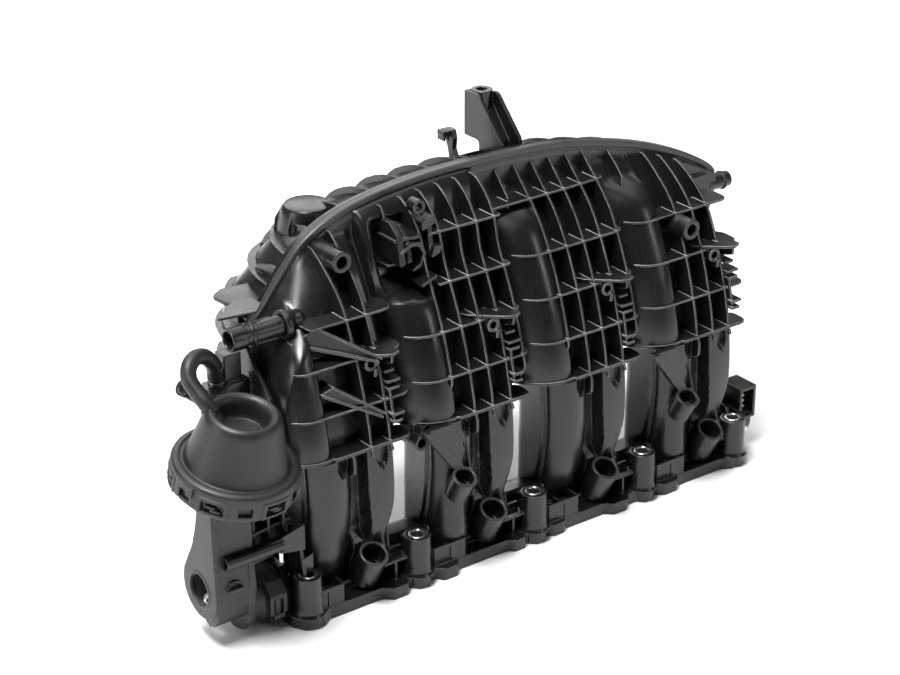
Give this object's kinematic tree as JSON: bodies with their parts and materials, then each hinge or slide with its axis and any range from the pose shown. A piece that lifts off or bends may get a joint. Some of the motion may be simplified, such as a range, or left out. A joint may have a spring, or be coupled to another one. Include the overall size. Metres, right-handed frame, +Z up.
{
  "type": "intake manifold",
  "caption": "Moulded plastic intake manifold: curved runners join a ribbed plenum to a head flange, with tumble flaps turned by a vacuum actuator.",
  "frame": {"origin": "middle of the port row on the head flange face, which is the plane Z = 0", "axes": "+X along the cylinder row towards the sensor end, +Y from the ribbed front towards the plenum and throttle flange, +Z up, away from the cylinder head"},
  "size_m": [0.4468, 0.1677, 0.256],
  "materials": {
    "shell": "satin glass-filled nylon",
    "grey": "matte glass-filled nylon",
    "metal": "satin",
    "brass": "satin",
    "rubber": "matte",
    "seal": "matte",
    "light": "satin natural acetal"
  },
  "bodies": {
    "manifold": {"front_shell": "shell", "rear_shell": "shell", "head_flange": "shell", "runner_1": "shell", "runner_2": "shell", "runner_3": "shell", "runner_4": "shell", "inner_shell": "shell", "sensor_housing": "shell", "vacuum_nozzle": "shell", "hose_fitting": "shell", "cap_clip": "shell", "actuator_cup": "grey", "actuator_dome": "grey", "actuator_lock_ring": "grey", "lever_cap": "grey", "bolt_sleeve_1": "metal", "bolt_sleeve_2": "metal", "bolt_sleeve_3": "metal", "bolt_sleeve_4": "metal", "bolt_sleeve_5": "metal", "return_spring": "metal", "sensor_screw_1": "metal", "sensor_screw_2": "metal", "throttle_insert_1": "brass", "throttle_insert_2": "brass", "throttle_insert_3": "brass", "throttle_insert_4": "brass", "sensor_terminals": "brass", "vacuum_hose": "rubber", "diaphragm": "rubber", "port_seal_1": "seal", "port_seal_2": "seal", "port_seal_3": "seal", "port_seal_4": "seal", "throttle_seal": "seal", "sensor_seal": "seal", "shaft_bush_1": "light", "shaft_bush_2": "light", "shaft_bush_3": "light", "shaft_bush_4": "light", "shaft_bush_5": "light", "rod_bush": "light"},
    "flap_train": {"flap_shaft": "metal", "flap_1": "light", "flap_2": "light", "flap_3": "light", "flap_4": "light", "flap_lever": "metal", "sensor_rotor": "light"},
    "actuator_piston": {"actuator_rod": "metal", "diaphragm_plate": "metal"}
  },
  "joints": [
    {"name": "flap_turn", "type": "hinge", "parent": "manifold", "child": "flap_train", "pos_m": [0, 0, 0.019], "axis": [1, 0, 0], "range_deg": [0, 75]},
    {"name": "rod_slide", "type": "slide", "parent": "manifold", "child": "actuator_piston", "axis": [0.075, -0.199, 0.9771], "range_m": [0, 0.0125], "stiffness_N_per_m": 900, "springref_m": -0.006, "deforming": ["return_spring", "diaphragm"]}
  ],
  "couplings": [
    {"joint": "flap_turn", "follows": "rod_slide", "rad_per_m": 104.5}
  ]
}
